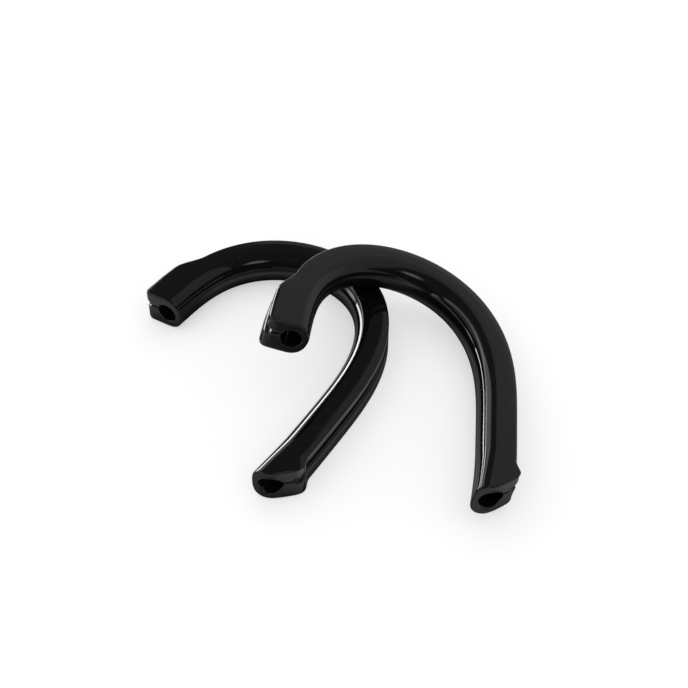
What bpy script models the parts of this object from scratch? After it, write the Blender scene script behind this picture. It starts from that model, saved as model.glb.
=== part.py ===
"""A pair of skate blade guards: two one-piece mouldings in soft black PVC.

Each guard is a thick strip with a keyhole section. A round bore runs through the
bulb on the inside of the bend, a thin slit opens it outwards, and the slit widens
into a mouth between two lips. The lips stand out in a flare at both ends. Off the
skate the guard springs back into a horseshoe. The back guard lies flat on the floor
and the front guard leans across it.

Every guard is modelled in its own frame: the origin is the middle of the bore line,
X runs along the bore there and the bend lies in the XY plane. The outside of the
section is the same above and below that plane; the slit and the mouth sit a little
above it. Units are metres, +Z is up.

Section points are (out, up, share): out from the bore line away from the inside of
the bend, up from the mid-plane, and the share of the lips' flare that the point takes.
"along" is a distance on the bore line from the nominal slanted end.
"""

import math

import bmesh
import bpy
import numpy as np
from mathutils import Quaternion, Vector

# ---------------------------------------------------------------- bore line
LENGTH = 0.2901            # along the bore line, end to end
# Curvature (1/m) at seven even stations from the slanted end to the square end:
# nearly straight, tight bend, opening again. The two guards spring back differently.
BACK_CURVATURE = (2.7, 0.0, 9.4, 19.5, 16.6, 18.6, -0.7)
FRONT_CURVATURE = (5.4, -0.6, 9.3, 20.2, 18.5, 17.2, -1.3)
BACK_TWIST, FRONT_TWIST = 0.0, 10.5    # degrees the slanted end is turned about the bore line
LINE_STEP = 0.0005         # step of the integration
LINE_SPARE = 0.012         # the line is carried this far past both ends

# ---------------------------------------------------------------- outside of the section
HALF_THICK = 0.01062       # flat upper and lower faces lie this far from the mid-plane
CROWN = 0.0004             # how far the flat faces fall away towards the lips
CROWN_START = 1 / 3        # where the fall starts, as a share of the flat face's width
BULB_DEPTH = 0.0094        # bore line to the inside of the bend
LIP_REACH = 0.00985        # bore line to the lips' outer face, away from the ends
LIP_EDGE_R = 0.0016        # rounded edge between a flat face and the lips' outer face
# fullness of the bulb (2 is an ellipse): away from the ends, at each end, and the run-out
BULB_POWER = 2.15
SLANT_POWER, SQUARE_POWER, POWER_RUN = 3.0, 2.3, 0.030

# ---------------------------------------------------------------- inside of the section
BORE_R = 0.0057            # round bore that keeps the walls off the sharpened edge
SLIT_RISE = 0.0013         # the slit sits this far above the mid-plane
SLIT_HALF = 0.0005         # half the width of the slit
MOUTH_RISE = 0.0017        # the middle of the mouth sits this far above the mid-plane
MOUTH_HALF = 0.0022        # half the width of the mouth inside its rounded edges
MOUTH_DEPTH = 0.0037       # depth of the mouth, away from the ends
MOUTH_EDGE_R = 0.0019      # rounded edge of the mouth
MOUTH_SHARE_DROP = 0.05    # share of the flare lost from the mouth's edge to the slit

# ---------------------------------------------------------------- ends
# flare of the lips: extra reach, length of the full flare, length of its run-out
SLANT_FLARE, SLANT_FULL, SLANT_RUN = 0.0030, 0.0123, 0.0090
SQUARE_FLARE, SQUARE_FULL, SQUARE_RUN = 0.0052, 0.0226, 0.0173

SLANT_BULB = 0.17          # slope of the slanted end across the bulb
SLANT_LIP = 1.02           # slope of the slanted end across the lips
SLANT_BLEND = 0.0030       # how softly one slope turns into the other
SQUARE_SLOPE = -0.11       # slope of the square end
SLANT_CORNER_R = 0.0032    # rounded corner of the lips in plan, slanted end
SQUARE_CORNER_R = 0.0042   # rounded corner of the lips in plan, square end
CORNER_USED = 0.985        # share of a corner radius that is followed
END_EDGE_R = 0.0012        # small round where the outside meets the end faces
BORE_EDGE_R = 0.0005       # and where the bore and the mouth meet them
FADE = 0.045               # length over which the rings turn square to the bore line

# ---------------------------------------------------------------- placing
# yaw is the direction (degrees) of the bore line at the middle of the guard
BACK_POSITION, BACK_YAW = Vector((0.0, 0.0, HALF_THICK)), 111.1
FRONT_POSITION, FRONT_YAW = Vector((0.0499, -0.00575, 0.01742)), 136.9
FRONT_LEAN = 19.64         # degrees, about a level axis
FRONT_LEAN_AXIS = Vector((-0.0975, 0.9952, 0.0))
CENTRE = Vector((-0.02212, -0.05064, 0.0))     # middle of the pair's footprint

# ---------------------------------------------------------------- fineness
RING_STEP = 0.0066         # spacing of the sections along the guard
END_RINGS = (0.0030, 0.0062, 0.0096)   # closer sections near each end
BULB_STEPS = 8             # segments over a quarter of the bulb
FLAT_STEPS = 3             # segments across a flat face
CORNER_STEPS = 2
MOUTH_STEPS = 2
# gives the inside as many points as the outside
BORE_STEPS = FLAT_STEPS + BULB_STEPS - MOUTH_STEPS - 1
SHARP_ANGLE = 38           # degrees; steeper edges are shaded sharp

# ---------------------------------------------------------------- PVC
ROUGHNESS = 0.16
BACK_TONE, FRONT_TONE = 0.010, 0.012   # grey level of the base colour


def smooth(x):
    """Soft step from 0 to 1, level at both ends."""
    x = min(max(x, 0.0), 1.0)
    return x * x * (3.0 - 2.0 * x)


def bore_line(curvatures):
    """Integrates the curvature; returns a function of the distance along the line."""
    count = round((LENGTH + 2 * LINE_SPARE) / LINE_STEP)
    samples = LINE_STEP * np.arange(count + 1) - LINE_SPARE
    bends = np.interp(samples, np.linspace(0.0, LENGTH, len(curvatures)), curvatures)
    turns = 0.5 * (bends[:-1] + bends[1:]) * LINE_STEP

    def running_sum(steps):
        """Sum from the first sample on, shifted to be zero at the middle of the guard."""
        sums = np.concatenate(([0.0], np.cumsum(steps)))
        return sums - np.interp(LENGTH / 2, samples, sums)

    headings = running_sum(turns)
    chords = headings[:-1] + turns / 2
    xs = running_sum(np.cos(chords) * LINE_STEP)
    ys = running_sum(np.sin(chords) * LINE_STEP)

    def at(along):
        """Point on the line and heading, in the guard's own frame."""
        return [np.interp(along, samples, values) for values in (xs, ys, headings)]

    return at


# ---------------------------------------------------------------- section
def arc(centre_out, centre_up, radius, first, last, steps, share):
    angles = [first + (last - first) * i / steps for i in range(steps + 1)]
    return [(centre_out + radius * math.cos(angle), centre_up + radius * math.sin(angle), share)
            for angle in angles]


def upper_outside():
    """Outside of the upper half, from the lip's outer face back over the bulb."""
    edge_out = LIP_REACH - LIP_EDGE_R
    fall = 2.0 * CROWN / ((1.0 - CROWN_START) * edge_out)      # slope of the crown at the lip
    points = arc(edge_out, HALF_THICK - CROWN - LIP_EDGE_R, LIP_EDGE_R,
                 0.0, math.pi / 2 - fall, CORNER_STEPS, 1.0)
    flat_out = points[-1][0]
    for i in range(1, FLAT_STEPS + 1):
        part = 1.0 - i / FLAT_STEPS
        crowned = max((part - CROWN_START) / (1.0 - CROWN_START), 0.0)
        points.append((flat_out * part, HALF_THICK - CROWN * crowned ** 2, part))
    exponent = 2.0 / BULB_POWER
    for i in range(1, BULB_STEPS):
        angle = math.pi / 2 * i / BULB_STEPS
        points.append((-BULB_DEPTH * math.sin(angle) ** exponent,
                       HALF_THICK * math.cos(angle) ** exponent, 0.0))
    points.append((-BULB_DEPTH, 0.0, 0.0))
    return points


def inside(side):
    """Mouth, slit and bore of the upper (side 1) or lower (side -1) half."""
    edge_out = LIP_REACH - MOUTH_EDGE_R
    edge = arc(edge_out, MOUTH_HALF + MOUTH_EDGE_R, MOUTH_EDGE_R,
               0.0, -math.pi / 2, CORNER_STEPS, 1.0)
    points = [(out, side * up + MOUTH_RISE, share) for out, up, share in edge]
    # wall bending in towards the slit
    for i in range(1, MOUTH_STEPS + 1):
        part = i / MOUTH_STEPS
        half_width = MOUTH_HALF + (SLIT_HALF - MOUTH_HALF) * part ** 2
        middle = MOUTH_RISE + (SLIT_RISE - MOUTH_RISE) * part ** 2
        points.append((edge_out - (MOUTH_DEPTH - MOUTH_EDGE_R) * part,
                       side * half_width + middle, 1.0 - MOUTH_SHARE_DROP * part))
    slit_angle = math.asin((SLIT_RISE + side * SLIT_HALF) / BORE_R)
    return points + arc(0.0, 0.0, BORE_R, slit_angle, side * math.pi, BORE_STEPS, 0.0)


def section():
    """Closed loop: upper lip, bulb, lower lip, and back through the bore to the upper lip.
    The outside is the first half of the points, the inside the second."""
    upper = upper_outside()
    outer = upper + [(out, -up, share) for out, up, share in reversed(upper[:-1])]
    inner = inside(1) + inside(-1)[-2::-1]
    return outer + inner[::-1]


# ---------------------------------------------------------------- ends
def fullness(out, up, along):
    """Factor that pushes a point of the bulb out to the fuller outline near the ends."""
    power = (BULB_POWER + (SLANT_POWER - BULB_POWER) * smooth(1.0 - along / POWER_RUN)
             + (SQUARE_POWER - BULB_POWER) * smooth(1.0 - (LENGTH - along) / POWER_RUN))
    size = abs(out / BULB_DEPTH) ** power + abs(up / HALF_THICK) ** power
    return size ** (-1.0 / power)


def corner(out, reach, radius):
    over = min(max(out - (reach - radius), 0.0), radius * CORNER_USED)
    return radius - math.sqrt(radius * radius - over * over)


def slant_cut(out):
    """How far the slanted end face lies inside the nominal end."""
    lip_part = 0.5 * (out + math.sqrt(out * out + SLANT_BLEND ** 2)) - 0.5 * SLANT_BLEND
    slope_cut = SLANT_BULB * out + (SLANT_LIP - SLANT_BULB) * lip_part
    return slope_cut + corner(out, LIP_REACH + SLANT_FLARE, SLANT_CORNER_R)


def square_cut(out):
    """How far the square end face lies inside the nominal end."""
    return SQUARE_SLOPE * out + corner(out, LIP_REACH + SQUARE_FLARE, SQUARE_CORNER_R)


def shifted(distance, out, share):
    """Distance along of a section point, once its ring leans with the nearer end face."""
    if distance < LENGTH / 2:
        return distance + slant_cut(out + share * SLANT_FLARE) * smooth(1.0 - distance / FADE)
    cut = square_cut(out + share * SQUARE_FLARE)
    return distance - cut * smooth(1.0 - (LENGTH - distance) / FADE)


def flare(along):
    """Extra reach of the lips."""
    slant = SLANT_FLARE * smooth((SLANT_FULL + SLANT_RUN - along) / SLANT_RUN)
    square = SQUARE_FLARE * smooth((SQUARE_FULL + SQUARE_RUN - (LENGTH - along)) / SQUARE_RUN)
    return slant + square


# ---------------------------------------------------------------- guard
def ring_distances():
    """Nominal distances of the sections from the slanted end."""
    near_end = [0.0, END_EDGE_R, *END_RINGS]
    first, last = END_RINGS[-1], LENGTH - END_RINGS[-1]
    count = round((last - first) / RING_STEP)
    middle = [first + (last - first) * i / count for i in range(1, count)]
    return near_end + middle + [LENGTH - distance for distance in reversed(near_end)]


def ring_profile(loop, distance):
    """The section as it stands at this distance, as (out, up, along)."""
    profile = []
    for i, (out, up, share) in enumerate(loop):
        along = shifted(distance, out, share)
        if out < 0.0 and i < len(loop) // 2:
            grow = fullness(out, up, along)
            out, up = out * grow, up * grow
        profile.append((out + share * flare(along), up, along))
    return profile


def rounded(profile):
    """Draws an end profile into the material by the radius of the end rounding."""
    count = len(profile)
    result = []
    for i, (out, up, along) in enumerate(profile):
        before, after = profile[i - 1], profile[(i + 1) % count]
        step_out, step_up = after[0] - before[0], after[1] - before[1]
        radius = END_EDGE_R if i < count // 2 else BORE_EDGE_R
        scale = radius / math.hypot(step_out, step_up)
        # the loop runs with the material on its left
        result.append((out - scale * step_up, up + scale * step_out, along))
    return result


def guard_point(line, twist, out, up, along):
    """Turns a profile point about the bore line and sets it in the guard's frame."""
    turn = math.radians(twist) * smooth(1.0 - 2.0 * along / LENGTH)
    turned_out = out * math.cos(turn) - up * math.sin(turn)
    turned_up = out * math.sin(turn) + up * math.cos(turn)
    x, y, heading = line(along)
    return x + turned_out * math.sin(heading), y - turned_out * math.cos(heading), turned_up


def guard_mesh(name, curvatures, twist):
    line = bore_line(curvatures)
    loop = section()
    count = len(loop)
    bm = bmesh.new()
    rings = []
    for distance in ring_distances():
        profile = ring_profile(loop, distance)
        if distance in (0.0, LENGTH):
            profile = rounded(profile)
        rings.append([bm.verts.new(guard_point(line, twist, *point)) for point in profile])
    for ring, following in zip(rings, rings[1:]):
        for i in range(count):
            j = (i + 1) % count
            bm.faces.new((ring[j], ring[i], following[i], following[j]))
    # each end face is a strip of quads between the outside and the inside
    slanted, square = rings[0], rings[-1]
    for i in range(count // 2 - 1):
        corners = (i, i + 1, count - 2 - i, count - 1 - i)
        bm.faces.new([slanted[k] for k in corners])
        bm.faces.new([square[k] for k in reversed(corners)])
    mesh = bpy.data.meshes.new(name)
    bm.to_mesh(mesh)
    bm.free()
    mesh.shade_smooth()
    mesh.set_sharp_from_angle(angle=math.radians(SHARP_ANGLE))
    return mesh


def gloss_black(name, tone):
    material = bpy.data.materials.new(name)
    material.use_nodes = True
    inputs = material.node_tree.nodes["Principled BSDF"].inputs
    inputs["Base Color"].default_value = (tone, tone, tone, 1.0)
    inputs["Roughness"].default_value = ROUGHNESS
    inputs["Metallic"].default_value = 0.0
    return material


def add_guard(name, collection, curvatures, twist, tone, position, rotation):
    guard = bpy.data.objects.new(name, guard_mesh(name, curvatures, twist))
    collection.objects.link(guard)
    guard.data.materials.append(gloss_black(name + "_pvc", tone))
    guard.location = position - CENTRE
    guard.rotation_mode = "QUATERNION"
    guard.rotation_quaternion = rotation


def main():
    for obj in list(bpy.data.objects):
        bpy.data.objects.remove(obj, do_unlink=True)
    parts = bpy.data.collections.new("skate_blade_guards")
    bpy.context.scene.collection.children.link(parts)

    back_yaw = Quaternion((0, 0, 1), math.radians(BACK_YAW))
    add_guard("back_guard", parts, BACK_CURVATURE, BACK_TWIST, BACK_TONE,
              BACK_POSITION, back_yaw)
    front_yaw = Quaternion((0, 0, 1), math.radians(FRONT_YAW))
    lean = Quaternion(FRONT_LEAN_AXIS.normalized(), math.radians(FRONT_LEAN))
    add_guard("front_guard", parts, FRONT_CURVATURE, FRONT_TWIST, FRONT_TONE,
              FRONT_POSITION, lean @ front_yaw)


main()
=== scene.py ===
"""A pair of skate blade guards, each a one-piece moulding in soft, glossy black PVC.

A guard is a keyhole section swept along a bent bore line: a round bore opens through a slit
between two lips, which flare at both ends. One end is slanted, the other square. In its own
frame the guard runs along X from the slanted end to the square one, with the lips towards
-Y, the closed bulb towards +Y and the thickness along Z. The back guard lies flat with its
slanted end towards the camera, on -Y; the front guard is tilted.
"""
import math

import bmesh
import bpy
import numpy as np
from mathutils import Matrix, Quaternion, Vector


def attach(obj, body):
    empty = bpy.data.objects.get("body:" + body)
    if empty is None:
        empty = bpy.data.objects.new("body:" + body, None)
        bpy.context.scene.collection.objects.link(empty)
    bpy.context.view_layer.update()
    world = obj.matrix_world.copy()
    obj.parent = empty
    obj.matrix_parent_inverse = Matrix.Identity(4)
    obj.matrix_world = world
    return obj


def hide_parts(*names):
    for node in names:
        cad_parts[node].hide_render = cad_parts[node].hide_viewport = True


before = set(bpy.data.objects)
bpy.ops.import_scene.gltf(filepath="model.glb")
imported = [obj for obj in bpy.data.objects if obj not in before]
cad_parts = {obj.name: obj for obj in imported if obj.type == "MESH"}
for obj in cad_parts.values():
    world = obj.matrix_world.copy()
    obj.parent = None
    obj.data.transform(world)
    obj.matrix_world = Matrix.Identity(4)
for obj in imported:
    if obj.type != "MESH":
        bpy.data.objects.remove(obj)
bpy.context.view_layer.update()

# ------------------------------------------------------------------ dimensions
LENGTH = 0.2901
LINE_STEP, LINE_SPARE = 0.00025, 0.014      # step of the bore line, its run past each end

# Section, measured from the bore centre
HALF_THICK = 0.01062
CROWN = 0.0004                              # fall of the flat sides towards the lips
BULB_DEPTH = 0.0094
LIP_REACH = 0.00985
LIP_EDGE_R = 0.0016
BORE_R = 0.0057
SLIT_RISE, MOUTH_RISE = 0.0013, 0.0017      # slit and mouth sit above the middle
SLIT_HALF, MOUTH_HALF = 0.0005, 0.0022      # half widths
MOUTH_DEPTH = 0.0037
MOUTH_EDGE_R = 0.0019
SLIT_SHARE = 0.95                           # share of the flare where mouth meets slit

# Superellipse power of the bulb: along the middle, at each end, and length of the change
BULB_POWER, SLANT_POWER, SQUARE_POWER, POWER_RUN = 2.15, 3.0, 2.3, 0.030

# Flare of the lips: size, length at full size, length of the fall to nothing
SLANT_FLARE, SLANT_FULL, SLANT_RUN = 0.0030, 0.0123, 0.0090
SQUARE_FLARE, SQUARE_FULL, SQUARE_RUN = 0.0052, 0.0226, 0.0173

# Ends: slopes of the slanted end over bulb and lips, length of the blend between them
SLANT_BULB, SLANT_LIP, SLANT_BLEND = 0.17, 1.02, 0.0030
SQUARE_SLOPE = -0.11
SLANT_CORNER_R, SQUARE_CORNER_R = 0.0032, 0.0042
CORNER_LIMIT = 0.985                        # share of a corner radius that is followed
END_EDGE_R, BORE_EDGE_R = 0.0012, 0.0005    # end rounding of the outside and of the inside
END_MARGIN = END_EDGE_R * 2.2               # the even rings start here
FADE = 0.045                                # run in which the rings turn from cut to upright

# Segments of the section, the end rounding and the end faces
CORNER_N, FLAT_N, BULB_N, MOUTH_N, WALL_N, SLIT_N = 8, 12, 32, 8, 8, 3
END_N, CAP_N = 6, 4
RING_STEP = 0.0015

# Side, bore line curvature (1/m) at even knots from the slanted end, twist of the slanted
# end (degrees), place of the middle, rotation
GUARDS = (
    ("back", (2.7, 0.0, 9.4, 19.5, 16.6, 18.6, -0.7), 0.0,
     (0.02212, 0.05064, HALF_THICK), Quaternion((0, 0, 1), math.radians(111.1))),
    ("front", (5.4, -0.6, 9.3, 20.2, 18.5, 17.2, -1.3), 10.5,
     (0.07202, 0.04489, 0.01742),
     Quaternion(Vector((-0.0975, 0.9952, 0.0)).normalized(), math.radians(19.64))
     @ Quaternion((0, 0, 1), math.radians(136.9))),
)


def add_object(name, data):
    obj = bpy.data.objects.new(name, data)
    bpy.context.scene.collection.objects.link(obj)
    return obj


# ------------------------------------------------------------------ section
# Section points are (out, rise, share): distance from the bore centre towards the lips,
# distance across the thickness, and share of the lip flare.
def smooth(x):
    x = np.clip(x, 0.0, 1.0)
    return x * x * (3.0 - 2.0 * x)


def arc(centre_out, centre_rise, radius, start, end, steps):
    """Arc that takes the whole flare."""
    angles = [start + (end - start) * i / steps for i in range(steps + 1)]
    return [(centre_out + radius * math.cos(angle), centre_rise + radius * math.sin(angle), 1.0)
            for angle in angles]


def outside():
    """Outside of the upper half, from the lip back over the bulb."""
    lip_centre = LIP_REACH - LIP_EDGE_R
    fall = 3.0 * CROWN / lip_centre         # slope of the crown at the lip
    pts = arc(lip_centre, HALF_THICK - CROWN - LIP_EDGE_R, LIP_EDGE_R,
              0, math.pi / 2 - fall, CORNER_N)
    flat_start = pts[-1][0]
    for i in range(1, FLAT_N + 1):
        part = 1.0 - i / FLAT_N
        drop = CROWN * max(1.5 * part - 0.5, 0.0) ** 2
        pts.append((flat_start * part, HALF_THICK - drop, part))
    power = 2.0 / BULB_POWER
    for i in range(1, BULB_N + 1):
        angle = math.pi / 2 * i / BULB_N
        pts.append((-BULB_DEPTH * math.sin(angle) ** power,
                    HALF_THICK * max(math.cos(angle), 0.0) ** power, 0.0))
    pts[-1] = (-BULB_DEPTH, 0.0, 0.0)
    return pts


def inside(side):
    """Mouth, slit and bore of the upper (1) or lower (-1) half, matching the outside's count."""
    root, brim = LIP_REACH - MOUTH_DEPTH, LIP_REACH - MOUTH_EDGE_R
    pts = arc(brim, MOUTH_HALF + MOUTH_EDGE_R, MOUTH_EDGE_R, 0.0, -math.pi / 2, MOUTH_N)
    pts = [(out, side * rise + MOUTH_RISE, share) for out, rise, share in pts]
    for i in range(1, WALL_N + 1):
        part = i / WALL_N
        half = SLIT_HALF + (MOUTH_HALF - SLIT_HALF) * (1.0 - part * part)
        middle = MOUTH_RISE + (SLIT_RISE - MOUTH_RISE) * part * part
        pts.append((brim - (brim - root) * part, side * half + middle,
                    1.0 - (1.0 - SLIT_SHARE) * part))
    start = math.asin((SLIT_RISE + side * SLIT_HALF) / BORE_R)
    slit_end = BORE_R * math.cos(start)
    for i in range(1, SLIT_N):
        part = i / SLIT_N
        pts.append((root + (slit_end - root) * part, side * SLIT_HALF + SLIT_RISE,
                    SLIT_SHARE * (1 - part)))
    steps = 1 + CORNER_N + FLAT_N + BULB_N - len(pts)
    for i in range(steps):
        angle = start + (side * math.pi - start) * i / (steps - 1)
        pts.append((BORE_R * math.cos(angle), BORE_R * math.sin(angle), 0.0))
    pts[-1] = (-BORE_R, 0.0, 0.0)
    return pts


def section():
    """Closed loop: upper lip, bulb, lower lip, then back through the bore to the upper lip."""
    upper = outside()
    outer = upper + [(out, -rise, share) for out, rise, share in reversed(upper[:-1])]
    inner = inside(1) + list(reversed(inside(-1)[:-1]))
    return np.array(outer + inner[::-1])


# ------------------------------------------------------------------ sweep
def running_sum(steps):
    return np.concatenate([[0.0], np.cumsum(steps)])[:-1]


def bore_line(curvatures):
    """Integrate the curvature: returns x, y and heading by the distance from the middle."""
    half = LENGTH / 2
    count = int(round((LENGTH + 2 * LINE_SPARE) / LINE_STEP))
    dist = -half - LINE_SPARE + np.arange(count + 1) * LINE_STEP
    knots = np.linspace(-half, half, len(curvatures))
    turn = 0.5 * LINE_STEP * (np.interp(dist, knots, curvatures)
                              + np.interp(dist + LINE_STEP, knots, curvatures))
    heading = running_sum(turn)
    x = running_sum(np.cos(heading + turn / 2) * LINE_STEP)
    y = running_sum(np.sin(heading + turn / 2) * LINE_STEP)
    # the middle goes to the origin, heading along +X
    mid_x, mid_y, mid_heading = (float(np.interp(0.0, dist, a)) for a in (x, y, heading))
    cos_mid, sin_mid = math.cos(-mid_heading), math.sin(-mid_heading)
    x, y = x - mid_x, y - mid_y
    columns = (x * cos_mid - y * sin_mid, x * sin_mid + y * cos_mid, heading - mid_heading)
    return lambda at: [np.interp(at, dist, column) for column in columns]


def corner(out, reach, radius):
    over = np.clip(out - (reach - radius), 0.0, radius * CORNER_LIMIT)
    return radius - np.sqrt(radius * radius - over * over)


def slant_cut(out):
    """How far the slanted end is set in, by the distance towards the lips."""
    reach = LIP_REACH + SLANT_FLARE
    out = np.minimum(out, reach)
    soft = 0.5 * (out + np.sqrt(out * out + SLANT_BLEND ** 2)) - 0.5 * SLANT_BLEND
    return (SLANT_BULB * out + (SLANT_LIP - SLANT_BULB) * soft
            + corner(out, reach, SLANT_CORNER_R))


def square_cut(out):
    reach = LIP_REACH + SQUARE_FLARE
    out = np.minimum(out, reach)
    return SQUARE_SLOPE * out + corner(out, reach, SQUARE_CORNER_R)


def flare(from_slant, from_square):
    return (SLANT_FLARE * smooth((SLANT_FULL + SLANT_RUN - from_slant) / SLANT_RUN)
            + SQUARE_FLARE * smooth((SQUARE_FULL + SQUARE_RUN - from_square) / SQUARE_RUN))


def stations():
    """(distance from the slanted end, share of the end rounding) for every ring."""
    angles = [math.pi / 2 * i / END_N for i in range(END_N + 1)]
    head = [(END_EDGE_R * (1 - math.cos(angle)), 1 - math.sin(angle)) for angle in angles]
    head.append((END_MARGIN, 0.0))
    even = LENGTH - 2 * END_MARGIN
    count = int(round(even / RING_STEP))
    middle = [(END_MARGIN + even * i / count, 0.0) for i in range(1, count)]
    return head + middle + [(LENGTH - dist, inset) for dist, inset in reversed(head)]


def ring(loop, line, twist, dist, inset):
    """Points of the section at one station, in the guard's own frame."""
    out, rise, share = loop.T
    outer = np.arange(len(loop)) < len(loop) // 2
    # follow the cuts near the ends
    first = dist < LENGTH / 2
    near = out + share * flare(0.0 if first else LENGTH, LENGTH if first else 0.0)
    along = (dist + slant_cut(near) * smooth(1.0 - dist / FADE)
             - square_cut(near) * smooth(1.0 - (LENGTH - dist) / FADE))
    # fuller bulb near the ends
    power = (BULB_POWER + (SLANT_POWER - BULB_POWER) * smooth(1.0 - along / POWER_RUN)
             + (SQUARE_POWER - BULB_POWER) * smooth(1.0 - (LENGTH - along) / POWER_RUN))
    grow = (np.abs(out / BULB_DEPTH) ** power
            + np.abs(rise / HALF_THICK) ** power) ** (-1.0 / power)
    grow = np.where(outer & (out < 0.0), grow, 1.0)
    out, rise = out * grow, rise * grow
    out = out + share * flare(along, LENGTH - along)
    if inset > 0:
        # round the end edges by moving the points into the material
        tan_out = np.roll(out, -1) - np.roll(out, 1)
        tan_rise = np.roll(rise, -1) - np.roll(rise, 1)
        shift = inset * np.where(outer, END_EDGE_R, BORE_EDGE_R) / np.hypot(tan_out, tan_rise)
        out, rise = out - shift * tan_rise, rise + shift * tan_out
    turn = math.radians(twist) * smooth(1.0 - 2.0 * along / LENGTH)
    out, rise = (out * np.cos(turn) - rise * np.sin(turn),
                 out * np.sin(turn) + rise * np.cos(turn))
    x, y, heading = line(along - LENGTH / 2)
    return np.stack([x + out * np.sin(heading), y - out * np.cos(heading), rise], 1)


def side_faces(rings, count):
    faces = []
    for row in range(0, (rings - 1) * count, count):
        for i in range(count):
            j = (i + 1) % count
            faces.append((row + j, row + i, row + count + i, row + count + j))
    return faces


def end_faces(points, rings, count):
    """Strips between outside and inside at both ends: returns new points and faces."""
    half = count // 2
    extra, faces = [], []
    for start, flip in ((0, False), ((rings - 1) * count, True)):
        rows = [[start + i for i in range(half)]]
        for k in range(1, CAP_N):
            part = k / CAP_N
            rows.append([len(points) + len(extra) + i for i in range(half)])
            extra += [points[start + i] * (1 - part) + points[start + count - 1 - i] * part
                      for i in range(half)]
        rows.append([start + count - 1 - i for i in range(half)])
        for row, following in zip(rows, rows[1:]):
            for i in range(half - 1):
                face = (row[i], row[i + 1], following[i + 1], following[i])
                faces.append(face[::-1] if flip else face)
    return extra, faces


def guard_mesh(name, curvatures, twist, centre, rotation):
    line, loop = bore_line(curvatures), section()
    rings = [ring(loop, line, twist, dist, inset) for dist, inset in stations()]
    points = np.concatenate(rings)
    sides = side_faces(len(rings), len(loop))
    extra, ends = end_faces(points, len(rings), len(loop))
    points = np.concatenate([points, np.array(extra)])
    points = points @ np.array(rotation.to_matrix()).T + np.array(centre)
    mesh = bpy.data.meshes.new(name)
    mesh.from_pydata(points.tolist(), [], sides + ends)
    mesh.validate()
    mesh.shade_smooth()
    mesh.set_sharp_from_angle(angle=math.radians(42))
    slots = np.zeros(len(mesh.polygons), np.int32)
    slots[len(sides):] = 1                  # the end faces take the second material
    mesh.polygons.foreach_set("material_index", slots)
    return mesh


# ------------------------------------------------------------------ shading arithmetic
def fill(tree, node, inputs):
    """Link or set inputs, given as {name or index: Sum, socket or plain value}."""
    for key, value in inputs.items():
        if isinstance(value, Sum):
            value = value.socket
        if isinstance(value, bpy.types.NodeSocket):
            tree.links.new(value, node.inputs[key])
        else:
            node.inputs[key].default_value = value


def add_node(tree, kind, *ordered, **named):
    node = tree.nodes.new("ShaderNode" + kind)
    fill(tree, node, {**dict(enumerate(ordered)), **named})
    return node


class Sum:
    """A number in a node tree, so that shading rules read as plain arithmetic."""

    def __init__(self, tree, socket):
        self.tree, self.socket = tree, socket

    def _math(self, operation, *terms):
        node = add_node(self.tree, "Math", *terms)
        node.operation = operation
        return Sum(self.tree, node.outputs[0])

    def __add__(self, other): return self._math("ADD", self, other)
    __radd__ = __add__
    def __sub__(self, other): return self._math("SUBTRACT", self, other)
    def __rsub__(self, other): return self._math("SUBTRACT", other, self)
    def __mul__(self, other): return self._math("MULTIPLY", self, other)
    __rmul__ = __mul__
    def __truediv__(self, other): return self._math("DIVIDE", self, other)
    def high(self, other): return self._math("MAXIMUM", self, other)
    def low(self, other): return self._math("MINIMUM", self, other)
    def root(self): return self._math("SQRT", self)
    def acos(self): return self._math("ARCCOSINE", self)
    def size(self): return self._math("ABSOLUTE", self)
    def power(self, other): return self._math("POWER", self, other)

    def step(self, start, end, lo=0.0, hi=1.0):
        """Smooth step from lo at start to hi at end."""
        if start > end:
            start, end, lo, hi = end, start, hi, lo
        node = add_node(self.tree, "MapRange", **{
            "Value": self, "From Min": start, "From Max": end, "To Min": lo, "To Max": hi})
        node.interpolation_type = "SMOOTHSTEP"
        return Sum(self.tree, node.outputs["Result"])

    def over(self, mask, value):
        """This number, with value painted over it where mask is one."""
        return self + mask * (value - self)


def span(value, start, end, soft=None):
    """Smooth step from start to end, or with a softness a band between them."""
    if soft is None:
        return value.step(start, end)
    return (value.step(start - soft / 2, start + soft / 2)
            * value.step(end + soft / 2, end - soft / 2))


def patch(x, y, centre, radii):
    """Soft oval, one in the middle."""
    off_x, off_y = (x - centre[0]) / radii[0], (y - centre[1]) / radii[1]
    return (off_x * off_x + off_y * off_y).root().step(start=1.0, end=0.35)


def coords(tree, stretch=(1, 1, 1), turn=(0, 0, 0)):
    source = add_node(tree, "TexCoord")
    return add_node(tree, "Mapping", Vector=source.outputs["Object"],
                    Scale=stretch, Rotation=turn).outputs[0]


def split_xyz(tree, vector):
    node = add_node(tree, "SeparateXYZ", vector)
    return [Sum(tree, node.outputs[i]) for i in range(3)]


def noise(tree, vector, scale, detail=2.0, rough=0.5):
    node = add_node(tree, "TexNoise", Vector=vector, Scale=scale, Detail=detail,
                    Roughness=rough)
    return Sum(tree, node.outputs[0])


def new_material(name):
    mat = bpy.data.materials.new(name)
    mat.use_nodes = True
    return mat, mat.node_tree, mat.node_tree.nodes["Principled BSDF"]


# ------------------------------------------------------------------ PVC
# What each mark does to roughness, grey shade and height (metres)
# the edge rim is dulled by wear (roughness) and lightened in grey as a painted highlight
RIM_ROUGH, RIM_PAINTED_HIGHLIGHT = 0.10, 0.02
STREAK_ROUGH, STREAK_SHADE, STREAK_DEPTH = 0.12, 0.004, 0.0000015
DUST_ROUGH, DUST_SHADE, DUST_HEIGHT = 0.8, 0.16, 0.00003
WAVE_HEIGHT, PEEL_HEIGHT = 0.000030, 0.0000008
TINT = (1.0, 1.0, 1.04)                     # the black leans slightly to blue


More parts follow.
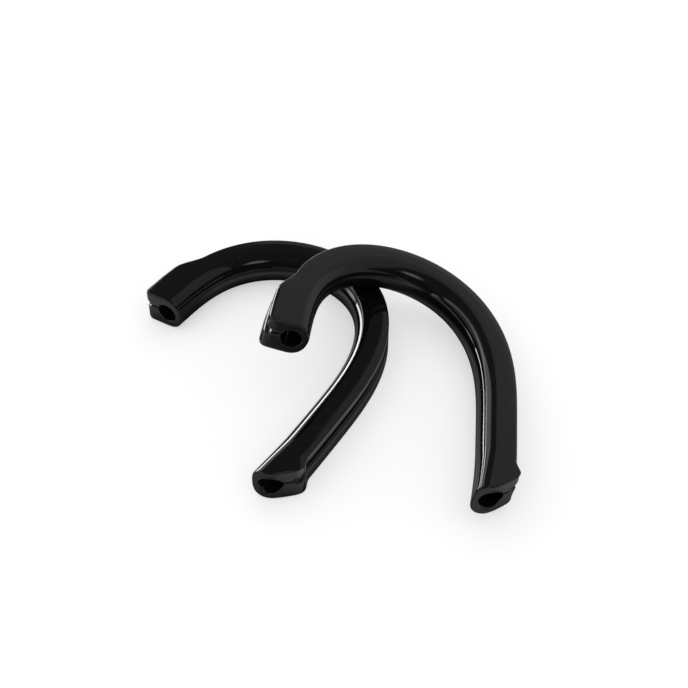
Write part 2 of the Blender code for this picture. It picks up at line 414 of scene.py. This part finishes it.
def specks(tree, vector, scale, radius, share):
    """Small round grains, one in some of the cells of an irregular grid."""
    cells = add_node(tree, "TexVoronoi", Vector=vector, Scale=scale)
    pick = add_node(tree, "SeparateColor", cells.outputs["Color"])
    return (Sum(tree, cells.outputs["Distance"]).step(radius, radius * 0.5)
            * Sum(tree, pick.outputs[0]).step(share, share - 0.02))


def scratches(tree, turn, scale, thin):
    """Short fine streaks: noise drawn out along one direction and cut off near its top."""
    vector = coords(tree, stretch=(1.0, 28.0, 28.0), turn=turn)
    return noise(tree, vector, scale, detail=1.0, rough=0.4).step(thin, thin + 0.05)


def pvc(name, tone, base_rough, rough_swing, grain, dusty):
    """Soft black PVC: a slow waviness left by the mould, a fine orange peel, hazier handled
    patches, dulled edges lightened with a painted highlight, hairline scratches and dust."""
    mat, tree, bsdf = new_material(name)
    plain = coords(tree)
    wave = noise(tree, plain, scale=42.0, detail=1.0)
    haze = noise(tree, plain, scale=75.0, detail=3.0, rough=0.6)
    peel = noise(tree, plain, scale=650.0)
    wear = noise(tree, plain, scale=1600.0, detail=3.0, rough=0.7)
    streaks = (scratches(tree, turn=(0.1, 0.2, 0.9), scale=26.0, thin=0.74)
               .high(scratches(tree, turn=(0.4, -0.3, 2.2), scale=34.0, thin=0.76)))
    dust = (specks(tree, plain, scale=260.0, radius=0.040, share=0.30)
            .high(specks(tree, plain, scale=700.0, radius=0.075, share=0.10)) * dusty)
    shape = add_node(tree, "NewGeometry")
    # mask of the end edges, from pointiness and wear: it roughens them and paints a highlight on
    # them
    rim_wear_and_highlight = (Sum(tree, shape.outputs["Pointiness"]).step(start=0.51, end=0.56)
           * wear.step(start=0.38, end=0.62))

    rough = (base_rough + haze.step(start=0.42, end=0.72) * rough_swing
             + wear * (rough_swing * 0.3))
    rough = rough + rim_wear_and_highlight * RIM_ROUGH + streaks * STREAK_ROUGH
    # the rim term lightens the edges as a painted highlight
    shade = tone * (0.75 + 0.5 * haze) + rim_wear_and_highlight * RIM_PAINTED_HIGHLIGHT + streaks * STREAK_SHADE
    shade = shade.over(dust, DUST_SHADE)
    height = wave * WAVE_HEIGHT + peel * PEEL_HEIGHT + wear * grain + dust * DUST_HEIGHT
    height = height - streaks * STREAK_DEPTH
    colour = add_node(tree, "CombineColor", *[shade * tint for tint in TINT])
    bump = add_node(tree, "Bump", Distance=1.0, Height=height)
    fill(tree, bsdf, {"Roughness": rough.over(dust, DUST_ROUGH), "IOR": 1.5,
                      "Base Color": colour.outputs[0], "Normal": bump.outputs[0]})
    return mat


skin = pvc("pvc_skin", tone=0.0022, base_rough=0.045, rough_swing=0.05,
           grain=0.0000002, dusty=1.0)
cut = pvc("pvc_cut_face", tone=0.0060, base_rough=0.17, rough_swing=0.12,
          grain=0.0000016, dusty=0.4)

# ------------------------------------------------------------------ guards
for side, curvatures, twist, centre, rotation in GUARDS:
    name = f"{side}_guard_moulding"
    guard = add_object(name, guard_mesh(name, curvatures, twist, centre, rotation))
    guard.data.materials.append(skin)
    guard.data.materials.append(cut)
    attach(guard, side)
    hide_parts(f"{side}_guard")

# ------------------------------------------------------------------ camera
TARGET = Vector((0.010374, 0.029388, 0.0))
ELEVATION, DISTANCE = 0.8155, 0.71716       # radians above the floor, metres from the target
SENSOR_WIDTH, LENS = 36.0, 65.45982558      # millimetres

cam_data = bpy.data.cameras.new("camera")
cam = add_object("camera", cam_data)
to_camera = Vector((0.0, -math.cos(ELEVATION), math.sin(ELEVATION)))
cam.location = TARGET + to_camera * DISTANCE
cam.rotation_mode = "QUATERNION"
cam.rotation_quaternion = (-to_camera).to_track_quat("-Z", "Y")
cam_data.sensor_fit = "HORIZONTAL"
cam_data.sensor_width = SENSOR_WIDTH
cam_data.lens = LENS
cam_data.clip_start, cam_data.clip_end = 0.01, 20.0
bpy.context.scene.camera = cam

# ------------------------------------------------------------------ floor
FLOOR_HALF, FLOOR_Z = 3.0, -0.0002
FLOOR_WHITE, FLOOR_GLOW = 0.845, 0.52
DIRECT_DIM = 0.5                            # share of white lost when not mirrored
CONTACT_SHADOW_REACH, CONTACT_SHADOW_POWER = 0.016, 4     # painted contact shadow: darkening of the mirrored floor near the guards

# Painted light and shade of the mirrored floor, as brightness: the base, then (change, x span, y
# span) by region.
# Two numbers are a step from and to, three a band with its softness.
MIRROR_BASE = 0.33
MIRROR_REGIONS = (
    (0.42, (-0.02, 0.045, 0.02), (-0.10, -0.075)),
    (0.25, (-0.02, 0.035, 0.01), (-0.10, -0.01, 0.02)),
    (0.15, (0.055, 0.08), (-0.07, -0.10)),
    (0.30, (0.06, 0.09, 0.01), (0.018, 0.045, 0.01)),
    (0.60, (-0.10, -0.015, 0.02), (0.05, 0.065)),
    (-0.12, (-0.075, -0.015, 0.01), (-0.02, 0.055, 0.02)),
    (0.16, (-0.085, -0.10), (0.0, 0.03)),
)


def floor_material():
    """White paper that glows a little seen straight on; seen mirrored it is toned down with
    painted light and shade by region and a painted contact shadow near the guards.
    """
    mat, tree, bsdf = new_material("floor")
    grain = noise(tree, coords(tree), scale=30.0, detail=4.0, rough=0.6)
    path = add_node(tree, "LightPath")
    contact_shade = add_node(tree, "AmbientOcclusion", Distance=CONTACT_SHADOW_REACH)
    contact_shade.samples = 8
    mirrored = Sum(tree, path.outputs["Is Glossy Ray"])
    clear = Sum(tree, contact_shade.outputs["AO"])
    x, y, _ = split_xyz(tree, coords(tree))
    # painted light and shade of the mirrored floor, region by region
    painted_floor_light = MIRROR_BASE
    for change, x_span, y_span in MIRROR_REGIONS:
        part = abs(change) * span(x, *x_span) * span(y, *y_span)
        painted_floor_light = painted_floor_light + part if change > 0 else painted_floor_light - part
    # seen mirrored, the floor is darkened near the guards as a painted contact shadow
    white = ((FLOOR_WHITE + 0.01 * grain)
             * (1.0 - mirrored * (1.0 - painted_floor_light * clear.power(CONTACT_SHADOW_POWER))))
    white = white * (1.0 - DIRECT_DIM * (1.0 - mirrored))
    colour = add_node(tree, "CombineColor", white, white, white)
    fill(tree, bsdf, {"Emission Color": (1.0, 1.0, 1.0, 1.0),
                      "Emission Strength": FLOOR_GLOW * (1.0 - mirrored),
                      "Base Color": colour.outputs[0], "Roughness": 0.48 + 0.08 * grain})
    return mat


bm = bmesh.new()
bmesh.ops.create_grid(bm, x_segments=1, y_segments=1, size=FLOOR_HALF)
floor_mesh = bpy.data.meshes.new("floor")
bm.to_mesh(floor_mesh)
bm.free()
floor = add_object("floor", floor_mesh)
floor.location = (0, 0, FLOOR_Z)
floor_mesh.materials.append(floor_material())

# ------------------------------------------------------------------ world
SOFT_LIGHT = 1.22                           # even light on everything but mirrored rays


def studio(tree):
    """Strength of the studio that the guards mirror, painted layer over layer.

    Directions lie on a chart in degrees: straight up in the middle, the horizon 90 from
    it, +X to the right and +Y upwards."""
    source = add_node(tree, "TexCoord")
    dir_x, dir_y, dir_z = split_xyz(tree, source.outputs["Generated"])
    away = dir_z.low(0.9999).high(-0.9999).acos() * (180 / math.pi)
    flat = (dir_x * dir_x + dir_y * dir_y).root().high(0.0001)
    x, y = away * dir_x / flat, away * dir_y / flat

    def ray_band(start, end, soft):
        """Band between two rays from the middle, given as x / y."""
        return span(x / y.high(0.01), start, end, soft)

    # dim ceiling, dark behind the camera
    light = y.step(start=-50, end=-58, lo=0.115, hi=0.05)
    # right wall with a bent, slanting edge, and the strip at the top of the chart
    past_edge = x - ((36.0 - y).size() * 0.50 + 4.5)
    wall = past_edge.step(start=0, end=3) * y.step(start=-46, end=-36)
    top = x.step(start=-9, end=-4) * y.step(start=53, end=58)
    wall_light = 0.46 + 0.14 * (away.step(start=66, end=74) * x.step(start=18, end=30)
                                * y.step(start=2, end=14)) if False else (
        0.46 + 0.14 * away.step(start=66, end=74) * x.step(start=18, end=30)
        * y.step(start=2, end=14))
    light = light.over(wall.high(top), value=wall_light)
    # two dim areas on the left
    light = light.over(x.step(start=-24, end=-34) * y.step(start=-6, end=24), value=0.33)
    light = light.over(x.step(start=-46, end=-56) * y.step(start=-46, end=-36), value=0.5)
    # long softbox on the left
    softbox = span(x, start=-52, end=-40, soft=5) * span(y, start=-38, end=70, soft=8)
    light = light.over(softbox, value=y.step(start=0, end=45, lo=1.7, hi=3.2))
    # small lamp by the camera, another to its left
    light = light.over(patch(x, y, centre=(16, -46), radii=(18, 13)), value=2.1)
    light = light.over(patch(x, y, centre=(-55, -62), radii=(12, 12)), value=2.4)
    # low on the left: a dim area, a bright lamp, a panel and a bright window
    low = away.step(start=76, end=80) * x.step(start=-50, end=-60) * y.step(start=-8, end=-20)
    light = light.over(low, value=0.7)
    light = light.over(patch(x, y, centre=(-74, 22), radii=(12, 18)), value=5.5)
    panel = (ray_band(start=-0.9, end=-0.34, soft=0.12)
             * span(away, start=54, end=70, soft=3) * y.step(start=0, end=1))
    light = light.over(panel, value=1.6)
    window = (away.step(start=75, end=78) * ray_band(start=-1.8, end=-0.36, soft=0.1)
              * y.step(start=0, end=1))
    return light.over(window, value=15.0)


world = bpy.data.worlds.new("studio")
bpy.context.scene.world = world
world.use_nodes = True
tree = world.node_tree
tree.nodes.clear()
gloss = add_node(tree, "Background", Strength=studio(tree))
soft = add_node(tree, "Background", Color=(1.0, 1.0, 1.0, 1.0), Strength=SOFT_LIGHT)
path = add_node(tree, "LightPath")
pick = add_node(tree, "MixShader", path.outputs["Is Glossy Ray"], soft.outputs[0],
                gloss.outputs[0])
add_node(tree, "OutputWorld", Surface=pick.outputs[0])
bpy.context.scene.view_settings.view_transform = "Standard"
